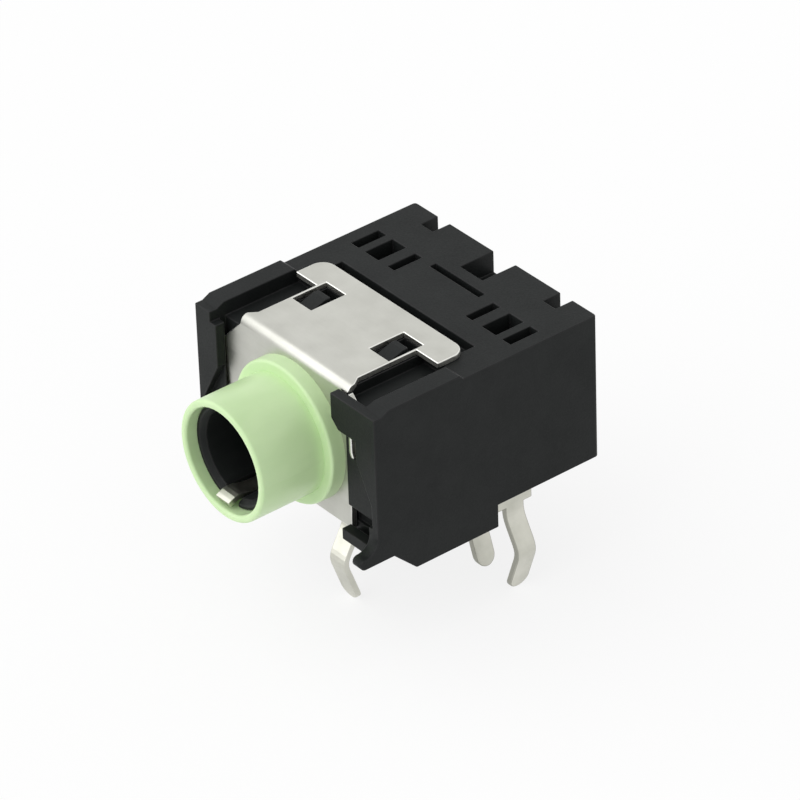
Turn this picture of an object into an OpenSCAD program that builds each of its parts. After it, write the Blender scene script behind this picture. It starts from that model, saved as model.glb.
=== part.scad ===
// Right-angle through-hole phone jack for a 3.5 mm plug, with break contacts on tip and ring.
// X is to the right seen from the front, +Y is the back, +Z is up from the board.
// The origin is the middle of the seat that lies on the board.
// Depths are counted from the front ends of the side walls, heights from the board.

/* [Housing] */
// Width over the side walls
body_w = 10.8; // [10.4:0.1:12]
// Length from the front ends of the side walls to the back
body_l = 10.8; // [10.6:0.1:12]
// Height of the top face
body_top = 7.4; // [7.3:0.1:8.2]
// Height of the raised underside in front of and behind the seat
underside = 1.0; // [0.6:0.1:1.2]
// Depth of the seat's front edge
seat_front = 1.8; // [1.6:0.1:2]
// Depth of the seat's back edge
seat_back = 5.8; // [5.4:0.1:6]
// Width of the left side wall at its front end
left_wall_w = 1.25; // [1.2:0.05:1.8]
// Width of the right side wall at its front end
right_wall_w = 2.2; // [1.8:0.05:2.3]
// Width of the raised rim on each side wall
rim_w = 0.9; // [0.6:0.1:1.1]
// Height of the rim over the top face
rim_h = 0.18; // [0.1:0.02:0.3]
// Length of the rim
rim_l = 4.3; // [3.8:0.1:4.4]
// Length of the slope at each end of the rim
rim_ramp = 0.35; // [0.2:0.05:0.5]
// Depth of the channel between rim and shield below the top face
channel_drop = 0.45; // [0.3:0.01:0.5]
// Rounding of the upright edges at the back
edge_r = 0.15; // [0.1:0.05:0.4]

/* [Front ends] */
// Width of the strip beside the recess in a front end, at its foot
strip_w = 0.35; // [0.3:0.05:0.5]
// Width of the same strip at its top, on the right
strip_top_w = 1.2; // [0.9:0.05:1.3]
// Height of the recess's lower edge
recess_low = 2.4; // [2.2:0.1:2.6]
// Height at which the strip starts to widen
recess_bend = 3.4; // [3:0.1:3.6]
// Height at which the strip has its full width
recess_top = 5.1; // [4.8:0.1:5.4]
// Depth of the recess
recess_l = 0.35; // [0.2:0.05:0.35]
// Height of the hollow under the recess
hollow_low = 1.5; // [1.4:0.05:1.7]
// Depth of the hollow
hollow_l = 0.9; // [0.6:0.1:1]
// Height at which the ear over the shield's right shoulder starts
ear_low = 5.9; // [5.6:0.1:6.2]
// Reach of the ear beside the wall
ear_w = 0.4; // [0.3:0.05:0.5]
// Distance of the slit in the right recess from the inner side of the wall
slit_in = 0.2; // [0.15:0.05:0.4]
// Height of the slit
slit_h = 1.2; // [0.8:0.1:1.6]
// Width of the slit
slit_w = 0.4; // [0.3:0.05:0.5]

/* [Toes] */
// Reach of the toes in front of the side walls
toe_l = 0.85; // [0.5:0.05:1]
// Width of each toe
toe_w = 0.55; // [0.4:0.05:0.7]
// Height of the toe's nose
toe_nose = 0.45; // [0.3:0.05:0.6]

/* [Plug opening] */
// Height of the plug's axis
axis_z = 4.25; // [4.1:0.05:4.3]
// Bore that guides the plug
plug_bore = 3.6; // [3.5:0.05:3.7]
// Wall of the nose round the bore
nose_wall = 0.35; // [0.33:0.01:0.4]
// Reach of the nose in front of the side walls
nose_reach = 2.6; // [2:0.1:2.8]
// Lead-in chamfer at the mouth of the bore
lead_in = 0.2; // [0.1:0.05:0.25]
// Depth at which the guiding wall ends
guide_end = 1.6; // [1.2:0.1:1.65]
// Clearance added to the bore's radius behind the guiding wall
cavity_clear = 0.2; // [0.16:0.01:0.25]

/* [Bushing] */
// Outer diameter of the tube
tube_d = 5.0; // [4.8:0.1:5.4]
// Reach of the tube in front of the side walls
tube_reach = 3.1; // [2.9:0.1:4]
// Diameter of the collar
collar_d = 5.9; // [5.6:0.1:6.2]
// Thickness of the collar
collar_t = 0.65; // [0.4:0.05:0.8]
// Rounding of the tube's lip and of the collar's edge
lip_r = 0.12; // [0.05:0.01:0.15]
// Clearance of the bushing on the nose, at the radius
bushing_clear = 0.03; // [0.01:0.01:0.05]

/* [Shield] */
// Thickness of the sheet
sheet_t = 0.25; // [0.2:0.05:0.3]
// Set-back of the shield behind the front ends of the side walls
shield_set = 0.5; // [0.45:0.05:0.6]
// Width of the foot
foot_w = 6.4; // [6.2:0.1:6.5]
// Height of the foot's upper end
foot_top = 2.9; // [2.7:0.1:3.2]
// Width at the fold
fold_w = 6.5; // [6.2:0.1:6.7]
// Width of the neck between the fold and the flap
neck_w = 6.0; // [5.6:0.1:6.1]
// Length over which the fold narrows to the neck
neck_ease = 0.35; // [0.2:0.05:0.5]
// Height at which the shoulders start
shoulder_z = 6.1; // [5.6:0.1:6.5]
// Outer radius of the fold
fold_r = 0.35; // [0.35:0.05:0.5]
// Height of the shield's lower edge
shield_foot = 1.2; // [1.1:0.05:1.25]
// Width of the rear flap on the top face
flap_w = 8.5; // [8:0.1:9]
// Depth at which the flap widens
flap_front = 4.0; // [3.8:0.05:4.2]
// Depth of the flap's back edge
flap_back = 5.4; // [5.2:0.1:5.8]
// Rounding of the flap's corners
flap_r = 0.6; // [0.3:0.1:0.7]
// Strip of sheet between each window and the side of the neck
window_strip = 0.1; // [0.1:0.05:0.4]
// Width of each window
window_w = 1.15; // [0.9:0.05:1.2]
// Length of each window
window_l = 1.65; // [1.4:0.05:1.8]
// Sheet left between a window and the back edge
window_land = 1.0; // [0.8:0.1:1.2]
// Gap behind the catch in each window
latch_gap = 0.55; // [0.4:0.05:0.7]
// Length of the flat top of each catch
latch_flat = 0.25; // [0.15:0.05:0.35]
// Gap between each catch and the sides of its window
latch_side = 0.2; // [0.1:0.05:0.3]
// Width of the shadow groove behind the flap
groove_w = 0.6; // [0.3:0.02:0.7]
// Clearance between the shield and what holds it
shield_clear = 0.06; // [0.04:0.01:0.1]

/* [Top face] */
// Length of the openings in the top face
slot_l = 1.35; // [1:0.05:1.5]
// Distance of their rear ends from the back
slot_back = 2.35; // [2.2:0.05:2.5]
// How far they go down
slot_drop = 1.5; // [0.8:0.1:1.6]
// Distance of the inner openings from the middle
inner_slot_x = 2.33; // [2.2:0.01:2.5]
// Width of the inner openings
inner_slot_w = 0.38; // [0.3:0.02:0.5]
// Distance of the middle openings from the middle
mid_slot_x = 3.5; // [3.4:0.05:3.6]
// Width of the middle openings
mid_slot_w = 0.8; // [0.6:0.05:0.9]
// Distance of the outer openings from the middle
outer_slot_x = 4.53; // [4.45:0.01:4.6]
// Width of the outer openings
outer_slot_w = 0.46; // [0.3:0.02:0.5]
// Length of the narrow cross slot
cross_l = 2.9; // [2:0.1:3.2]
// Width of the narrow cross slot
cross_w = 0.3; // [0.2:0.05:0.4]
// Width of the notch in the middle of the back
mid_notch_w = 1.3; // [1:0.1:1.6]
// Depth of the notch in the middle of the back
mid_notch_l = 1.65; // [1:0.05:1.8]
// Width of each side notch
side_notch_w = 0.7; // [0.4:0.05:0.9]
// Depth of each side notch
side_notch_l = 0.85; // [0.5:0.05:1.1]
// Distance of the side notches from the middle
side_notch_x = 3.65; // [3.4:0.05:3.8]
// How far the notches go down
notch_drop = 0.95; // [0.7:0.05:1]

/* [Contacts] */
// Thickness of the contact sheet
contact_t = 0.25; // [0.2:0.01:0.3]
// Width of the solder legs
leg_w = 0.9; // [0.7:0.05:1]
// Length of the legs below the board's upper face
leg_drop = 3.7; // [3:0.1:4]
// Straight length of the legs below the board's upper face
leg_root = 0.4; // [0.35:0.05:0.5]
// Sideways reach of the kink that snaps in under the board
kink = 0.75; // [0.4:0.05:0.8]
// Depth of the kink below the board's upper face
kink_drop = 1.75; // [1.6:0.05:2]
// Sideways reach of the legs at their tips
tip_reach = 0.05; // [0:0.05:0.3]
// Easing of the bends in the contacts
bend_r = 0.35; // [0.3:0.01:0.36]
// Distance of the spring legs from the middle
inner_x = 2.95; // [2.9:0.05:3]
// Distance of the break contact legs from the middle
outer_x = 4.6; // [4.55:0.05:4.7]
// Depth of the middle of the four rear legs
leg_y = 7.15; // [7.05:0.05:7.25]
// Width of the shoulder above each rear leg
shoulder_w = 1.7; // [1.5:0.05:1.7]
// Height of the shoulder's lower edge
shoulder_low = 0.05; // [0.05:0.05:0.3]
// Height of the shoulder
shoulder_h = 1.5; // [1.2:0.1:1.8]
// Width of the blade above the shoulder
blade_w = 1.05; // [0.95:0.05:1.1]
// Straight start of each arm behind the middle of its leg
arm_start = 0.65; // [0.6:0.05:0.7]
// Height of the spring arms
arm_h = 1.2; // [0.8:0.1:1.4]
// Distance from the plug's axis at which the springs rest
rest_r = 1.5; // [1.4:0.05:1.6]
// Distance from the spring's crest out to its tail
tail_out = 1.0; // [0.9:0.05:1.05]
// Length of the spring past its crest
tail_l = 1.0; // [0.9:0.05:1.1]
// Length of the part of the tail that lies along the break contact
tail_flat = 0.4; // [0.36:0.01:0.45]
// Depth at which the tip spring meets the plug
tip_y = 8.9; // [8.8:0.05:9]
// Depth at which the ring spring meets the plug
ring_y = 5.65; // [5.6:0.05:5.75]
// Distance of the sleeve contact's leg from the middle
sleeve_x = 1.1; // [1:0.05:1.3]
// Depth of the sleeve contact's leg
sleeve_leg_y = 2.1; // [2.05:0.05:2.2]
// Reach of its slot in front of the seat
sleeve_relief = 0.35; // [0.3:0.05:0.5]
// Height of the sleeve contact's wide part
sleeve_h = 1.2; // [0.8:0.1:1.4]
// Distance of the tongue under the plug from the middle
tongue_x = -0.2; // [-0.3:0.05:0.3]
// Width of the tongue
tongue_w = 0.8; // [0.6:0.05:0.8]
// Clearance between the tongue and the bore's wall
tongue_clear = 0.01; // [0.01:0.01:0.02]
// Length of the tongue's rise to its crest
tongue_rise = 0.8; // [0.7:0.05:1]
// Rise of the tongue's crest into the bore
tongue_lift = 0.25; // [0.15:0.01:0.25]
// Length of the tongue's end in front of its crest
tongue_end = 0.45; // [0.4:0.01:0.5]
// Clearance over the spring arms
pocket_clear = 0.2; // [0.1:0.05:0.3]
// Gap between a closed pair of contacts
contact_gap = 0.05; // [0.02:0.01:0.1]
// Clearance of a contact in its slot
contact_clear = 0.05; // [0.03:0.01:0.08]

/* [Hidden] */
$fn = 64;
over = 1;
seat_middle = (seat_front + seat_back) / 2;
half_w = body_w / 2;
left_in = left_wall_w - half_w;
right_in = half_w - right_wall_w;
rim_in = half_w - rim_w;
toe_in = half_w - toe_w;
deck_half = neck_w / 2 + shield_clear;
shield_half = rim_in - shield_clear;
bore_r = plug_bore / 2;
nose_r = bore_r + nose_wall;
cavity_r = bore_r + cavity_clear;
plate_back = shield_set + sheet_t;
plate_top = body_top + sheet_t;
fold_y = shield_set + fold_r;
fold_z = plate_top - fold_r;
groove_half = flap_w / 2 - flap_r / 2;
window_back = flap_back - window_land;
window_out = neck_w / 2 - window_strip;
window_in = window_out - window_w;
slot_y = body_l - slot_back - slot_l;
window_front = window_back - window_l;
arm_low = axis_z - arm_h / 2;
arm_high = axis_z + arm_h / 2;
pocket_top = arm_high + pocket_clear;
channel_z = body_top - channel_drop;
catch_back = window_back - latch_gap;
tail_x = rest_r + tail_out;
pad_x = tail_x + contact_t + contact_gap;
slot_half = contact_t / 2 + contact_clear;
tongue_in = tongue_x - tongue_w / 2;
tongue_out = tongue_x + tongue_w / 2;
tongue_top = axis_z - bore_r - tongue_clear;
tongue_mid = tongue_top - contact_t / 2;
crest_y = lead_in / 2 - nose_reach;

// Points along a centreline whose corners are eased by short curves
function unit(v) = v / norm(v);
function eased_corner(a, b, c, r) =
    let (from = b + unit(a - b) * r, to = b + unit(c - b) * r)
    [for (s = [0:0.25:1]) (1 - s) * (1 - s) * from + 2 * s * (1 - s) * b + s * s * to];
function eased(path, r) = concat(
    [path[0]],
    [for (i = [1:len(path) - 2]) each eased_corner(path[i - 1], path[i], path[i + 1], r)],
    [path[len(path) - 1]]);
function normal(a, b) = let (v = unit(b - a)) [-v[1], v[0]];
function corner_normal(path, i) =
    i == 0 ? normal(path[0], path[1])
    : i == len(path) - 1 ? normal(path[i - 1], path[i])
    : let (n = normal(path[i - 1], path[i]), m = unit(n + normal(path[i], path[i + 1]))) m / (m * n);
function one_side(path, d) = [for (i = [0:len(path) - 1]) path[i] + d * corner_normal(path, i)];
function reversed(list) = [for (i = [len(list) - 1:-1:0]) list[i]];

// Points on an arc, by angle
function arc(centre, r, from, to) =
    [for (s = [0:0.25:1]) let (a = from + s * (to - from)) centre + r * [cos(a), sin(a)]];

// Edge of a bent sheet along a centreline
module sheet_edge(path, t) {
    polygon(concat(one_side(path, t / 2), reversed(one_side(path, -t / 2))));
}

// Places depths that count from the front ends of the side walls
module from_front() {
    translate([0, -seat_middle, 0]) children();
}

// Box between two corners
module block(low, high) {
    translate(low) cube(high - low);
}

// A shape and its mirror image on the other side
module both_sides() {
    children();
    mirror([1, 0, 0]) children();
}

// Extrudes an outline drawn in depth and height across the width
module across(x0, x1) {
    translate([x0, 0, 0]) rotate([90, 0, 90]) linear_extrude(x1 - x0) children();
}

// Extrudes an outline drawn in width and height towards the back
module backwards(y0, y1) {
    translate([0, y1, 0]) rotate([90, 0, 0]) linear_extrude(y1 - y0) children();
}

// Round bar along the plug's axis
module axial(r, y0, y1) {
    translate([0, y1, axis_z]) rotate([90, 0, 0]) cylinder(r = r, h = y1 - y0);
}

// Body block with the raised underside, the sloped front of the seat and rounded back edges
module body_block() {
    intersection() {
        across(-half_w, half_w)
            polygon([[0, underside], [plate_back, underside], [seat_front, 0], [seat_back, 0],
                     [seat_back, underside], [body_l, underside], [body_l, body_top], [0, body_top]]);
        linear_extrude(body_top) union() {
            translate([-half_w, 0]) square([body_w, body_l - edge_r]);
            translate([edge_r - half_w, 0]) square([body_w - 2 * edge_r, body_l]);
            for (side = [-1, 1]) translate([side * (half_w - edge_r), body_l - edge_r]) circle(edge_r);
        }
    }
}

// Foot in front of a side wall, hollowed above
module toe() {
    nose = toe_nose / 2;
    hollow = toe_l - nose;
    across(toe_in, half_w) difference() {
        union() {
            translate([-hollow, underside]) square([hollow + over / 10, toe_nose + hollow]);
            translate([-hollow, underside + nose]) circle(nose);
        }
        translate([-hollow, underside + toe_nose + hollow]) circle(hollow);
    }
}

// Raised rim with a sloped front end
module rim() {
    across(rim_in, half_w)
        polygon([[rim_ramp, channel_z], [rim_ramp, body_top], [2 * rim_ramp, body_top + rim_h],
                 [rim_l - rim_ramp / 2, body_top + rim_h], [rim_l, body_top], [rim_l, channel_z]]);
}

// Ramp that snaps into a window of the shield, with the catch at its back
module latch() {
    across(window_in + latch_side, window_out - latch_side)
        polygon([[window_front, channel_z - over / 10], [catch_back, channel_z - over / 10],
                 [catch_back, plate_top], [catch_back - latch_flat, plate_top],
                 [window_front + shield_clear, body_top], [window_front, body_top]]);
}

// Recess in the front end of a side wall, with the hollow under it
// wall_w is the width of the wall and top_w that of the strip at the recess's upper end
module wall_recess(wall_w, top_w) {
    inner = half_w - wall_w - shield_clear;
    foot = half_w - strip_w;
    top = half_w - top_w;
    backwards(-over, recess_l)
        polygon([[inner, hollow_low], [toe_in, hollow_low], [toe_in, recess_low], [foot, recess_low],
                 [foot, recess_bend], [top, recess_top], [top, ear_low], [inner, ear_low]]);
    block([inner, -over, hollow_low], [toe_in, hollow_l, recess_low]);
}

// Ear beside the right wall that laps over the shield's shoulder
module ear() {
    backwards(0, shield_set - shield_clear)
        polygon([[right_in, ear_low], [rim_in, ear_low], [rim_in, body_top],
                 [right_in - ear_w, body_top], [right_in - ear_w, ear_low + ear_w]]);
}

// Slit in the floor of the right recess, in front of the shield's edge
module slit() {
    low = right_in + slit_in;
    block([low, -over, ear_low - slit_h], [low + slit_w, plate_back, ear_low]);
}

// Opening in the top face at distance x from the middle
module top_slot(x, w) {
    block([x - w / 2, slot_y, body_top - slot_drop], [x + w / 2, slot_y + slot_l, body_top + over]);
}

// Openings in the top face and notches in the back edge
module top_openings() {
    both_sides() {
        top_slot(inner_slot_x, inner_slot_w);
        top_slot(mid_slot_x, mid_slot_w);
        top_slot(outer_slot_x, outer_slot_w);
    }
    block([-cross_l / 2, slot_y + slot_l - cross_w / 2, body_top - slot_drop / 2],
          [cross_l / 2, slot_y + slot_l + cross_w / 2, body_top + over]);
    block([-mid_notch_w / 2, body_l - mid_notch_l, body_top - notch_drop],
          [mid_notch_w / 2, body_l + over, body_top + over]);
    both_sides()
        block([side_notch_x - side_notch_w / 2, body_l - side_notch_l, body_top - notch_drop],
              [side_notch_x + side_notch_w / 2, body_l + over, body_top + over]);
}

// Room for the shield, its fold and flap, the collar and the channels beside them
module shield_room() {
    axial(collar_d / 2 + shield_clear, -over, plate_back);
    block([-flap_w / 2 - shield_clear, flap_front - shield_clear, body_top],
          [flap_w / 2 + shield_clear, flap_back, plate_top + over]);
    block([left_in, -over, -over], [right_in, plate_back, plate_top + over]);
    block([-rim_in, shield_set - shield_clear, shield_foot - shield_clear],
          [rim_in, plate_back, plate_top + over]);
    both_sides() block([deck_half, -over, channel_z], [rim_in, rim_l, plate_top + over]);
    across(-deck_half, deck_half)
        polygon([[0, body_top + over], [0, body_top - fold_r], [plate_back, body_top - fold_r],
                 [plate_back + fold_r, body_top], [plate_back + fold_r, body_top + over]]);
    block([-groove_half, flap_back, channel_z], [groove_half, flap_back + groove_w, body_top + over]);
    both_sides()
        block([window_in + shield_clear, window_front + shield_clear, channel_z],
              [window_out - shield_clear, window_back, body_top + over]);
}

// Slots for the blades of one spring and its break contact, and the pocket for their arms
// side is 1 on the right and -1 on the left, way is 1 where the arms run back and -1 where they run forward
module contact_room(side, way, crest) {
    wide = outer_x + slot_half;
    narrow = rest_r - contact_clear;
    near = leg_y + way * (blade_w - shoulder_w / 2 - contact_t);
    far = crest + way * (tail_l + contact_t);
    for (x = [inner_x, outer_x])
        block([side * x - slot_half, leg_y - shoulder_w / 2 - contact_clear, -over],
              [side * x + slot_half, leg_y + shoulder_w / 2 + contact_clear, pocket_top]);
    block([side > 0 ? narrow : -wide, min(near, far), -over],
          [side > 0 ? wide : -narrow, max(near, far), pocket_top]);
}

// Slots for the sleeve contact's blade and for its tongue under the bore
module sleeve_room() {
    back = sleeve_leg_y + slot_half;
    high = tongue_top + contact_clear;
    block([tongue_in - contact_clear, seat_front - sleeve_relief, -over],
          [sleeve_x + leg_w / 2 + contact_clear, back, high]);
    block([tongue_in - contact_clear, -nose_reach - over, -over], [tongue_out + contact_clear, back, axis_z]);
}

module housing() {
    color("#303233") from_front() difference() {
        union() {
            difference() {
                union() {
                    body_block();
                    both_sides() toe();
                    both_sides() rim();
                }
                shield_room();
                wall_recess(right_wall_w, strip_top_w);
                mirror([1, 0, 0]) wall_recess(left_wall_w, left_wall_w);
                slit();
                top_openings();
                contact_room(1, 1, tip_y);
                contact_room(-1, -1, ring_y);
            }
            both_sides() latch();
            ear();
            axial(nose_r, -nose_reach, guide_end);
        }
        sleeve_room();
        axial(bore_r, -nose_reach - over, guide_end + over);
        axial(cavity_r, guide_end, body_l + over);
        translate([0, -nose_reach, axis_z]) rotate([-90, 0, 0])
            cylinder(r1 = bore_r + lead_in, r2 = bore_r, h = lead_in);
    }
}

// Ring with a collar, turned from one profile
module bushing() {
    inner_r = nose_r + bushing_clear;
    outer_r = tube_d / 2;
    lip = min(lip_r, (outer_r - inner_r) / 2);
    length = tube_reach + shield_set;
    color("#bfe0a8") from_front()
        translate([0, shield_set, axis_z]) rotate([90, 0, 0]) rotate_extrude()
            polygon(concat([[inner_r, 0], [collar_d / 2, 0]],
                           arc([collar_d / 2 - lip_r, collar_t - lip_r], lip_r, 0, 90), [[outer_r, collar_t]],
                           arc([outer_r - lip, length - lip], lip, 0, 90),
                           arc([inner_r + lip, length - lip], lip, 90, 180)));
}

// Edge of the bent sheet: front face, quarter turn and top
module shield_edge() {
    translate([shield_set, shield_foot]) square([sheet_t, fold_z - shield_foot]);
    translate([fold_y, fold_z]) intersection() {
        difference() {
            circle(fold_r);
            circle(fold_r - sheet_t);
        }
        translate([-fold_r, 0]) square(fold_r);
    }
    translate([fold_y, body_top]) square([flap_back - fold_y, sheet_t]);
}

// Outline of the front face with its shoulders and the hole for the nose
module shield_front() {
    right = [[foot_w / 2, shield_foot], [foot_w / 2, foot_top], [shield_half, foot_top],
             [shield_half, shoulder_z], [fold_w / 2, fold_z], [fold_w / 2, plate_top]];
    difference() {
        polygon(concat(right, reversed([for (p = right) [-p[0], p[1]]])));
        translate([0, axis_z]) circle(nose_r + shield_clear);
    }
}

// Outline of the top with the fold, the wider flap and the two windows
module shield_top() {
    neck_front = fold_y + neck_ease;
    difference() {
        union() {
            polygon([[-fold_w / 2, shield_set], [fold_w / 2, shield_set], [fold_w / 2, fold_y],
                     [neck_w / 2, neck_front], [-neck_w / 2, neck_front], [-fold_w / 2, fold_y]]);
            translate([-neck_w / 2, neck_front]) square([neck_w, flap_back - neck_front]);
            translate([-flap_w / 2, flap_front]) square([flap_w, flap_back - flap_r - flap_front]);
            translate([flap_r - flap_w / 2, flap_front])
                square([flap_w - 2 * flap_r, flap_back - flap_front]);
            for (side = [-1, 1]) translate([side * (flap_w / 2 - flap_r), flap_back - flap_r]) circle(flap_r);
        }
        both_sides() translate([window_in, window_front]) square([window_w, window_l]);
    }
}

// Sheet bent over the front, cut to the outlines of its front face and its top
module shield() {
    color("#cfcfc6") from_front() intersection() {
        across(-half_w, half_w) shield_edge();
        union() {
            backwards(shield_set, fold_y) shield_front();
            translate([0, 0, fold_z]) linear_extrude(fold_r) shield_top();
        }
    }
}

// Corners of a solder leg's centreline from its tip upwards, kinked towards side
function leg_corners(at, side) =
    [[at + side * tip_reach, -leg_drop], [at + side * kink, -kink_drop], [at, -leg_root]];

// Flat outline of a leg with its round tip, up to the given height
module leg_outline(top) {
    translate([0, leg_w / 2 - leg_drop]) circle(d = leg_w);
    translate([-leg_w / 2, leg_w / 2 - leg_drop]) square([leg_w, top + leg_drop - leg_w / 2]);
}

// Blade that stands in its slot, with the leg below and a bent arm
module blade(side, x, way, arm) {
    blade_top = pocket_top - contact_clear;
    edge = eased(concat(leg_corners(side * x, side), [[side * x, blade_top]]), bend_r);
    intersection() {
        backwards(leg_y - shoulder_w, leg_y + shoulder_w) sheet_edge(edge, contact_t);
        across(-half_w - over, half_w + over) translate([leg_y, 0]) {
            leg_outline(shoulder_low + contact_t);
            translate([-shoulder_w / 2, shoulder_low]) square([shoulder_w, shoulder_h]);
            translate([way > 0 ? -shoulder_w / 2 : shoulder_w / 2 - blade_w, shoulder_low])
                square([blade_w, blade_top - shoulder_low]);
        }
    }
    translate([0, 0, arm_low]) linear_extrude(arm_h) sheet_edge(arm, contact_t);
}

// Arm of a spring: in to the plug, then out to the break contact
function spring_arm(side, way, crest) = eased(
    [[side * inner_x, leg_y], [side * inner_x, leg_y + way * arm_start],
     [side * (rest_r + contact_t / 2), crest], [side * tail_x, crest + way * (tail_l - tail_flat)],
     [side * tail_x, crest + way * tail_l]], bend_r);

// Arm of a break contact: in to the outer face of the spring's tail
function break_arm(side, way, crest) = eased(
    [[side * outer_x, leg_y], [side * outer_x, leg_y + way * arm_start],
     [side * pad_x, crest + way * (tail_l - tail_flat)], [side * pad_x, crest + way * tail_l]], bend_r);

module tip_spring() {
    color("#cdcbbd") from_front() blade(1, inner_x, 1, spring_arm(1, 1, tip_y));
}

module tip_break_contact() {
    color("#c6c4b6") from_front() blade(1, outer_x, 1, break_arm(1, 1, tip_y));
}

module ring_spring() {
    color("#cdcbbd") from_front() blade(-1, inner_x, -1, spring_arm(-1, -1, ring_y));
}

module ring_break_contact() {
    color("#c6c4b6") from_front() blade(-1, outer_x, -1, break_arm(-1, -1, ring_y));
}

// Front leg with a wide blade above it and a tongue that runs forward under the plug
module sleeve_contact() {
    blade_low = tongue_mid - sleeve_h;
    crest = tongue_mid + tongue_lift;
    tongue = [[sleeve_leg_y, tongue_mid], [crest_y + tongue_rise, tongue_mid], [crest_y, crest],
              [crest_y - tongue_end, tongue_mid]];
    path = eased(concat(leg_corners(sleeve_leg_y, -1), tongue), bend_r);
    color("#cdcbbd") from_front() intersection() {
        across(tongue_in, sleeve_x + leg_w / 2) sheet_edge(path, contact_t);
        union() {
            backwards(-nose_reach, body_l) translate([sleeve_x, 0]) leg_outline(blade_low + contact_t);
            block([tongue_in, sleeve_leg_y - contact_t, blade_low],
                  [sleeve_x + leg_w / 2, sleeve_leg_y + contact_t, axis_z]);
            block([tongue_in, -tube_reach, blade_low], [tongue_out, sleeve_leg_y, axis_z]);
        }
    }
}

housing();
bushing();
shield();
sleeve_contact();
tip_spring();
tip_break_contact();
ring_spring();
ring_break_contact();
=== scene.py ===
"""Looks, light and camera for a right-angle 3.5 mm phone jack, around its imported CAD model."""
import math
from typing import NamedTuple

import bpy
from mathutils import Matrix, Vector


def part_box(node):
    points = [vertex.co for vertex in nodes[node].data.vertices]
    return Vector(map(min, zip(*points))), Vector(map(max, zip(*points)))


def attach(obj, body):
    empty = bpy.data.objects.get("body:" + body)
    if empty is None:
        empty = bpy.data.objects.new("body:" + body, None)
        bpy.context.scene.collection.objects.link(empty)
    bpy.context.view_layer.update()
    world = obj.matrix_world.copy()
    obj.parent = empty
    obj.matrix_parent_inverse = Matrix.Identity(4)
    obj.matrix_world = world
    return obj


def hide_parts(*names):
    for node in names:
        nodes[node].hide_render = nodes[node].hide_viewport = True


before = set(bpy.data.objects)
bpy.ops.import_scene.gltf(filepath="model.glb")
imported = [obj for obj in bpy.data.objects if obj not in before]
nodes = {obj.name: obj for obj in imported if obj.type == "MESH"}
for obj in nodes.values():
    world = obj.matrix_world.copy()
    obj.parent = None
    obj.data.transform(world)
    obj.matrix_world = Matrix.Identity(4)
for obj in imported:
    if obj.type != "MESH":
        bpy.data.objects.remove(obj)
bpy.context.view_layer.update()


class Noise(NamedTuple):
    """How fine a noise is, counted per millimetre, its octaves and the weight of the finer ones."""
    scale: float
    detail: float
    roughness: float = 0.55


class Relief(NamedTuple):
    """Strength of a bump and its depth in millimetres."""
    strength: float
    depth: float


MM = 0.001
WHITE = (1.0, 1.0, 1.0, 1.0)

# Camera of the photograph in the part's frame: angles in degrees, lens and sensor in millimetres
AZIMUTH = 52.0
ELEVATION = 33.76
ROLL = -2.04
LENS = 279.25
SENSOR = 36.0
AIM = Vector((0.0, 0.2, 3.5)) * MM
DISTANCE = 235.77 * MM
SLIDE_RIGHT = 1.155 * MM
SLIDE_UP = 0.321 * MM
NEAREST = 10.0 * MM
FARTHEST = 20.0

# Floor at the tips of the legs: half its width in metres, and the share of plain white in what is seen of it
FLOOR_Z = -3.7 * MM
FLOOR_HALF = 3.0
FLOOR_GLOW = 0.82

# Light: from all round, against 1 for the white that is seen, and from one wide soft lamp
AMBIENT = 0.62
KEY_STRENGTH = 1.7
KEY_SPREAD = 90.0
KEY_FROM = Vector((-0.42, -0.66, 0.62))

# Rounding of edges: angles in degrees, and the material slot of the rounded strip
EDGE_ANGLE = 28.0
FLAT_ANGLE = 0.2
WELD = 0.0002 * MM
EDGE_WIDTH = 0.04 * MM
EDGE_STEPS = 2
SLOT_BESIDE = -1
SLOT_OF_EDGE = 1

# Centreline of the solder legs from the tip up: reach away from the middle, then height
LEG_LINE = [Vector(point) * MM for point in ((0.05, -3.7), (0.75, -1.75), (0.0, -0.4), (0.0, 1.0))]
LEG_EASE = 0.35 * MM
EASE_STEPS = (0.0, 0.25, 0.5, 0.75, 1.0)

# Tab of the shield in the slit of the right front end: its line from the top down, seen from the front
TAB_LINE = [Vector(point) * MM for point in ((3.58, 5.84), (3.58, 5.0), (3.68, 4.76))]
TAB_T = 0.18 * MM
TAB_REACH = 0.26 * MM
TAB_EDGE = 0.07 * MM
TAB_EDGE_STEPS = 3

# Tones of the materials, from dark to light
HOUSING_TONES = (0.0102, 0.0117, 0.0116), (0.0152, 0.0169, 0.0167)
# Lighter tones on the housing's rounded edges: a painted highlight
HOUSING_EDGE_HIGHLIGHT_TONES = (0.016, 0.0165, 0.017), (0.026, 0.0265, 0.027)
GREEN_TONES = (0.57, 0.77, 0.42), (0.63, 0.825, 0.47)
SHIELD_TONES = (0.525, 0.525, 0.483), (0.60, 0.60, 0.556)
# Much lighter tones on the shield's rounded edges: a painted highlight
SHIELD_EDGE_HIGHLIGHT_TONES = (0.76, 0.76, 0.715), (0.84, 0.84, 0.795)
CONTACT_TONES = (0.54, 0.54, 0.475), (0.66, 0.655, 0.585)
# Darker tones on the contacts' rounded edges and cut faces: painted shade
CONTACT_EDGE_SHADE_TONES = (0.34, 0.34, 0.295), (0.44, 0.44, 0.385)
CONTACT_CUT_SHADE_TONE = CONTACT_EDGE_SHADE_TONES[0]

# Roughness of the materials, from smooth to rough
HOUSING_ROUGH = (0.42, 0.55)
HOUSING_EDGE_ROUGH = (0.32, 0.42)
GREEN_ROUGH = (0.30, 0.38)
SHIELD_ROUGH = (0.37, 0.49)
SHIELD_EDGE_ROUGH = (0.26, 0.36)
CONTACT_ROUGH = (0.28, 0.40)
CONTACT_EDGE_ROUGH = (0.36, 0.46)

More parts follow.
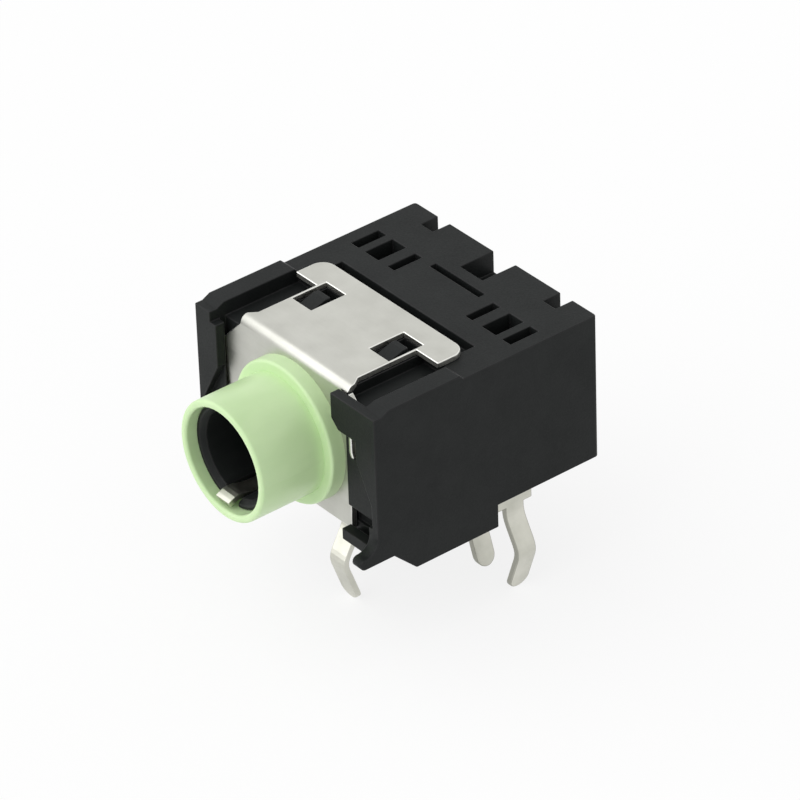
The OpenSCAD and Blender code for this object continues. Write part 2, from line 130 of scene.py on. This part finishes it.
# Black plastic
FLOW_CLOUDS = Noise(0.55, 4.0)
MOULD_GRAIN = Noise(14.0, 2.0)
MOULD_PITS = Noise(42.0, 1.0)
GRAIN_RELIEF = Relief(0.35, 0.012)
PIT_RELIEF = Relief(0.3, 0.004)
MOULD_SPECULAR = 0.135

# Green plastic, and the light that gets into it
GREEN_CLOUDS = Noise(0.7, 4.0)
GREEN_GRAIN = Noise(9.0, 2.0)
GREEN_RELIEF = Relief(0.2, 0.006)
INNER_LIGHT = 0.12
INNER_COLOUR = (0.8, 1.0, 0.6)
INNER_REACH = 0.25 * MM

# Plated sheet: the depth of its relief is in millimetres
SHEET_STREAKS = Noise(6.0, 4.0, 0.6)
SHEET_STAINS = Noise(0.8, 4.0)
SHEET_GRAIN = Noise(25.0, 1.0)
STREAK_STRENGTH = 0.35
SHEET_GRAIN_STRENGTH = 0.08
FACE_DEPTH = 0.003
EDGE_DEPTH = 0.002

# How often a noise repeats along X, Y and Z: less often where it is drawn out
EVEN = (1.0, 1.0, 1.0)
DRAWN_ALONG_X = (0.08, 1.0, 1.0)
DRAWN_ALONG_Y = (1.0, 0.5, 1.0)
DRAWN_ALONG_Z = (1.0, 1.0, 0.1)

# Middle part of a factor, which is spread over the whole of another range
MIDDLE = (0.3, 0.7)
WHOLE = (0.0, 1.0)

# Distance between the nodes in a material's tree
NODE_STEP = 220.0


def add_node(tree, kind, **inputs):
    """A node beside those made before it in a tree, with its unlinked inputs set."""
    node = tree.nodes.new(kind)
    node.location.x = NODE_STEP * len(tree.nodes)
    for name, value in inputs.items():
        node.inputs[name.replace("_", " ")].default_value = value
    return node


def new_material(name):
    """An empty node material and its tree."""
    material = bpy.data.materials.new(name)
    material.use_nodes = True
    material.node_tree.nodes.clear()
    return material, material.node_tree


def add_output(tree, kind, surface):
    """Output of a tree for the shader that makes its surface."""
    output = add_node(tree, kind)
    tree.links.new(surface, output.inputs["Surface"])


def principled(tree, colour, rough, normal):
    """Principled shader of a surface, linked to its output."""
    shader = add_node(tree, "ShaderNodeBsdfPrincipled")
    for source, name in ((colour, "Base Color"), (rough, "Roughness"), (normal, "Normal")):
        tree.links.new(source, shader.inputs[name])
    add_output(tree, "ShaderNodeOutputMaterial", shader.outputs["BSDF"])
    return shader


def object_coordinates(tree, repeats=EVEN):
    """Object coordinates in millimetres, times the repeats along the axes."""
    coordinates = add_node(tree, "ShaderNodeTexCoord")
    mapping = add_node(tree, "ShaderNodeMapping", Scale=[repeat / MM for repeat in repeats])
    tree.links.new(coordinates.outputs["Object"], mapping.inputs["Vector"])
    return mapping.outputs["Vector"]


def add_noise(tree, place, noise):
    """Factor of a noise at the given coordinates."""
    node = add_node(tree, "ShaderNodeTexNoise",
                    Scale=noise.scale, Detail=noise.detail, Roughness=noise.roughness)
    tree.links.new(place, node.inputs["Vector"])
    return node.outputs["Fac"]


def ramp(tree, factor, tones):
    """Colour between a dark and a light tone, by the middle part of a factor."""
    node = add_node(tree, "ShaderNodeValToRGB")
    for element, position, tone in zip(node.color_ramp.elements, MIDDLE, tones):
        element.position = position
        element.color = (*tone, 1.0)
    tree.links.new(factor, node.inputs["Fac"])
    return node.outputs["Color"]


def spread(tree, factor, low, high, part=MIDDLE):
    """A part of a factor spread over the range from low to high."""
    start, end = part
    node = add_node(tree, "ShaderNodeMapRange", From_Min=start, From_Max=end, To_Min=low, To_Max=high)
    tree.links.new(factor, node.inputs["Value"])
    return node.outputs["Result"]


def bump(tree, height, relief, under=None):
    """Normal of a bump, on top of the normal under it if there is one."""
    node = add_node(tree, "ShaderNodeBump", Strength=relief.strength, Distance=relief.depth * MM)
    tree.links.new(height, node.inputs["Height"])
    if under:
        tree.links.new(under, node.inputs["Normal"])
    return node.outputs["Normal"]


def calculate(tree, operation, *factors):
    """Value of a calculation with the given factors, each a socket or a plain number."""
    node = add_node(tree, "ShaderNodeMath")
    node.operation = operation
    for socket, factor in zip(node.inputs, factors):
        if isinstance(factor, float):
            socket.default_value = factor
        else:
            tree.links.new(factor, socket)
    return node.outputs["Value"]


def broad_faces(tree):
    """1 on the faces of a sheet that look along X, 0 on the cut edges between them."""
    coordinates = add_node(tree, "ShaderNodeTexCoord")
    parts = add_node(tree, "ShaderNodeSeparateXYZ")
    tree.links.new(coordinates.outputs["Normal"], parts.inputs["Vector"])
    return spread(tree, calculate(tree, "ABSOLUTE", parts.outputs["X"]), *WHOLE)


def black_plastic(name, tones, rough):
    """Moulded black plastic: a fine matt grain with faint flow clouds."""
    material, tree = new_material(name)
    place = object_coordinates(tree)
    clouds = add_noise(tree, place, FLOW_CLOUDS)
    grain = add_noise(tree, place, MOULD_GRAIN)
    pits = add_noise(tree, place, MOULD_PITS)
    normal = bump(tree, pits, PIT_RELIEF, under=bump(tree, grain, GRAIN_RELIEF))
    shader = principled(tree, ramp(tree, clouds, tones), spread(tree, grain, *rough), normal)
    shader.inputs["Specular IOR Level"].default_value = MOULD_SPECULAR
    return material


def green_plastic(name, tones, rough):
    """Glossy plastic that lets a little light in."""
    material, tree = new_material(name)
    place = object_coordinates(tree, DRAWN_ALONG_Y)
    clouds = add_noise(tree, place, GREEN_CLOUDS)
    grain = add_noise(tree, place, GREEN_GRAIN)
    normal = bump(tree, grain, GREEN_RELIEF)
    shader = principled(tree, ramp(tree, clouds, tones), spread(tree, grain, *rough), normal)
    shader.inputs["Subsurface Weight"].default_value = INNER_LIGHT
    shader.inputs["Subsurface Radius"].default_value = INNER_COLOUR
    shader.inputs["Subsurface Scale"].default_value = INNER_REACH
    return material


def plated_metal(name, tones, rough, repeats, depth, cut=None):
    """Rolled and plated sheet: long faint streaks, soft stains, fine grain and, if given, painted shade in a
    darker tone on the cut edges.
    """
    material, tree = new_material(name)
    place = object_coordinates(tree)
    streaks = add_noise(tree, object_coordinates(tree, repeats), SHEET_STREAKS)
    stains = add_noise(tree, place, SHEET_STAINS)
    grain = add_noise(tree, place, SHEET_GRAIN)
    colour = ramp(tree, stains, tones)
    # Painted shade: the given darker tone on the cut faces between the broad faces
    if cut:
        cut_shade_mix = add_node(tree, "ShaderNodeMixRGB", Color1=(*cut, 1.0))
        tree.links.new(broad_faces(tree), cut_shade_mix.inputs["Fac"])
        tree.links.new(colour, cut_shade_mix.inputs["Color2"])
        colour = cut_shade_mix.outputs["Color"]
    rolled = bump(tree, streaks, Relief(STREAK_STRENGTH, depth))
    normal = bump(tree, grain, Relief(SHEET_GRAIN_STRENGTH, depth), under=rolled)
    shader = principled(tree, colour, spread(tree, streaks, *rough), normal)
    shader.inputs["Metallic"].default_value = 1.0
    return material


def eased(line, reach):
    """A line of points whose inner corners are eased by short curves."""
    points = [line[0]]
    for before, corner, after in zip(line, line[1:], line[2:]):
        start = corner + (before - corner).normalized() * reach
        end = corner + (after - corner).normalized() * reach
        points += [start.lerp(corner, s).lerp(corner.lerp(end, s), s) for s in EASE_STEPS]
    return points + [line[-1]]


def reach_at(line, height):
    """Reach of a rising line at a height, and none above its end."""
    height = max(height, line[0].y)
    for low, high in zip(line, line[1:]):
        if low.y <= height < high.y:
            return low.lerp(high, (height - low.y) / (high.y - low.y)).x
    return 0.0


def add_object(name, data):
    """An object in the scene for a mesh, a lamp or a camera."""
    added = bpy.data.objects.new(name, data)
    bpy.context.collection.objects.link(added)
    return added


def turn_leg(name, side):
    """A spring whose leg kinks towards the middle, in place of the CAD node with its leg kinked outwards."""
    mesh = nodes[name].data.copy()
    line = eased(LEG_LINE, LEG_EASE)
    # Once the reach puts the leg straight, and once more puts it on the other side
    for vertex in mesh.vertices:
        vertex.co.x -= 2 * side * reach_at(line, vertex.co.z)
    piece = add_object(name + "_turned", mesh)
    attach(piece, "root")
    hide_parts(name)
    return piece


def shield_tab():
    """Bent tab that stands on the front of the shield and shows in the slit of the right front end."""
    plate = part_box("shield")[0].y
    outline = [(point.x - TAB_T / 2, point.y) for point in TAB_LINE]
    outline += [(point.x + TAB_T / 2, point.y) for point in reversed(TAB_LINE)]
    count = len(outline)
    corners = [(x, y, z) for y in (plate - TAB_REACH, plate) for x, z in outline]
    faces = [range(count), range(2 * count - 1, count - 1, -1)]
    for this in range(count):
        following = (this + 1) % count
        faces.append((this, this + count, following + count, following))
    mesh = bpy.data.meshes.new("shield_tab")
    mesh.from_pydata(corners, [], faces)
    piece = add_object("shield_tab", mesh)
    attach(piece, "root")
    return piece


def round_edges(piece, slot=SLOT_BESIDE, width=EDGE_WIDTH, steps=EDGE_STEPS):
    """Joins the faces of a piece and rounds its edges, without touching its mesh."""
    weld = piece.modifiers.new("join", "WELD")
    weld.merge_threshold = WELD
    flat = piece.modifiers.new("flat_faces", "DECIMATE")
    flat.decimate_type = "DISSOLVE"
    flat.angle_limit = math.radians(FLAT_ANGLE)
    edge = piece.modifiers.new("edges", "BEVEL")
    edge.width = width
    edge.segments = steps
    edge.limit_method = "ANGLE"
    edge.angle_limit = math.radians(EDGE_ANGLE)
    edge.use_clamp_overlap = False
    edge.miter_outer = "MITER_SHARP"
    edge.harden_normals = True
    edge.material = slot


def dress(piece, *materials):
    """Gives a piece its materials."""
    slots = piece.data.materials
    while len(slots) < len(materials):
        slots.append(None)
    for slot, material in zip(piece.material_slots, materials):
        slot.link = "OBJECT"
        slot.material = material


def seen_directly(tree):
    """1 for rays of the camera, of mirrors and of clear bodies, 0 for light that falls on a surface."""
    path = add_node(tree, "ShaderNodeLightPath")
    seen = path.outputs["Is Camera Ray"]
    for kind in ("Is Glossy Ray", "Is Transmission Ray"):
        seen = calculate(tree, "MAXIMUM", seen, path.outputs[kind])
    return seen


def white_floor():
    """White matt floor on which the shadow shows faintly."""
    material, tree = new_material("white_floor")
    matt = add_node(tree, "ShaderNodeBsdfDiffuse", Color=WHITE)
    glow = add_node(tree, "ShaderNodeEmission", Color=WHITE, Strength=1.0)
    mix = add_node(tree, "ShaderNodeMixShader")
    share = calculate(tree, "MULTIPLY", seen_directly(tree), FLOOR_GLOW)
    for source, socket in zip((share, matt.outputs["BSDF"], glow.outputs["Emission"]), mix.inputs):
        tree.links.new(source, socket)
    add_output(tree, "ShaderNodeOutputMaterial", mix.outputs["Shader"])
    return material


def lay_floor():
    """Wide floor under the part."""
    mesh = bpy.data.meshes.new("floor")
    sides = ((-1, -1), (1, -1), (1, 1), (-1, 1))
    mesh.from_pydata([(x * FLOOR_HALF, y * FLOOR_HALF, FLOOR_Z) for x, y in sides], [], [range(len(sides))])
    mesh.materials.append(white_floor())
    add_object("floor", mesh)


def set_surroundings():
    """White surroundings that light the part less than they are bright."""
    world = bpy.data.worlds.new("surroundings")
    bpy.context.scene.world = world
    world.use_nodes = True
    tree = world.node_tree
    tree.nodes.clear()
    background = add_node(tree, "ShaderNodeBackground", Color=WHITE)
    level = spread(tree, seen_directly(tree), AMBIENT, 1.0, WHOLE)
    tree.links.new(level, background.inputs["Strength"])
    add_output(tree, "ShaderNodeOutputWorld", background.outputs["Background"])


def hang_key_light():
    """Soft light from the upper left of the front."""
    lamp = bpy.data.lights.new("key", "SUN")
    lamp.energy = KEY_STRENGTH
    lamp.angle = math.radians(KEY_SPREAD)
    key = add_object("key", lamp)
    key.rotation_euler = KEY_FROM.to_track_quat("Z", "Y").to_euler()


def set_camera():
    """Camera at the photograph's place."""
    azimuth, elevation, roll = (math.radians(angle) for angle in (AZIMUTH, ELEVATION, ROLL))
    back = Vector((math.sin(azimuth) * math.cos(elevation), -math.cos(azimuth) * math.cos(elevation),
                   math.sin(elevation)))
    level_right = Vector((math.cos(azimuth), math.sin(azimuth), 0.0))
    level_up = back.cross(level_right)
    right = math.cos(roll) * level_right + math.sin(roll) * level_up
    up = math.cos(roll) * level_up - math.sin(roll) * level_right
    eye = AIM + back * DISTANCE + right * SLIDE_RIGHT + up * SLIDE_UP
    data = bpy.data.cameras.new("photo")
    data.lens = LENS
    data.sensor_width = SENSOR
    data.sensor_fit = "HORIZONTAL"
    data.clip_start = NEAREST
    data.clip_end = FARTHEST
    camera = add_object("photo", data)
    camera.matrix_world = Matrix.Translation(eye) @ Matrix((right, up, back)).transposed().to_4x4()
    bpy.context.scene.camera = camera


def finish_housing():
    """Black housing with smoother rounded edges, whose lighter tone is a painted highlight."""
    face = black_plastic("housing_plastic", HOUSING_TONES, HOUSING_ROUGH)
    # The edge material's lighter tone is a painted highlight
    edge = black_plastic("housing_edge_painted_highlight", HOUSING_EDGE_HIGHLIGHT_TONES, HOUSING_EDGE_ROUGH)
    dress(nodes["housing"], face, edge)
    round_edges(nodes["housing"], SLOT_OF_EDGE)


def finish_shield():
    """Shield and its tab, with a painted highlight in a much lighter tone on their rounded edges."""
    face = plated_metal("shield_plating", SHIELD_TONES, SHIELD_ROUGH, DRAWN_ALONG_X, FACE_DEPTH)
    # The edge material's much lighter tone is a painted highlight
    edge = plated_metal("shield_edge", SHIELD_EDGE_HIGHLIGHT_TONES, SHIELD_EDGE_ROUGH, EVEN, EDGE_DEPTH)
    tab = shield_tab()
    for piece in (nodes["shield"], tab):
        dress(piece, face, edge)
    round_edges(nodes["shield"], SLOT_OF_EDGE)
    round_edges(tab, SLOT_OF_EDGE, TAB_EDGE, TAB_EDGE_STEPS)


def finish_contacts():
    """Contacts at the back, with painted shade in a darker tone on their cut faces and rounded edges, and
    the sleeve's contact, plated all over.
    """
    # Darker tones on the cut faces and rounded edges: painted shade
    face = plated_metal("contact_plating", CONTACT_TONES, CONTACT_ROUGH, DRAWN_ALONG_Z, FACE_DEPTH,
                        CONTACT_CUT_SHADE_TONE)
    edge = plated_metal("contact_edge_painted_shade", CONTACT_EDGE_SHADE_TONES, CONTACT_EDGE_ROUGH, EVEN, EDGE_DEPTH)
    for contact in (nodes["tip_break_contact"], nodes["ring_break_contact"],
                    turn_leg("tip_spring", 1), turn_leg("ring_spring", -1)):
        dress(contact, face, edge)
        round_edges(contact, SLOT_OF_EDGE)
    plating = plated_metal("sleeve_plating", CONTACT_TONES, CONTACT_ROUGH, DRAWN_ALONG_Z, FACE_DEPTH)
    dress(nodes["sleeve_contact"], plating)
    round_edges(nodes["sleeve_contact"])


set_camera()
lay_floor()
set_surroundings()
hang_key_light()

finish_housing()
dress(nodes["bushing"], green_plastic("pale_green_plastic", GREEN_TONES, GREEN_ROUGH))
finish_shield()
finish_contacts()

bpy.context.scene.view_settings.view_transform = "Standard"
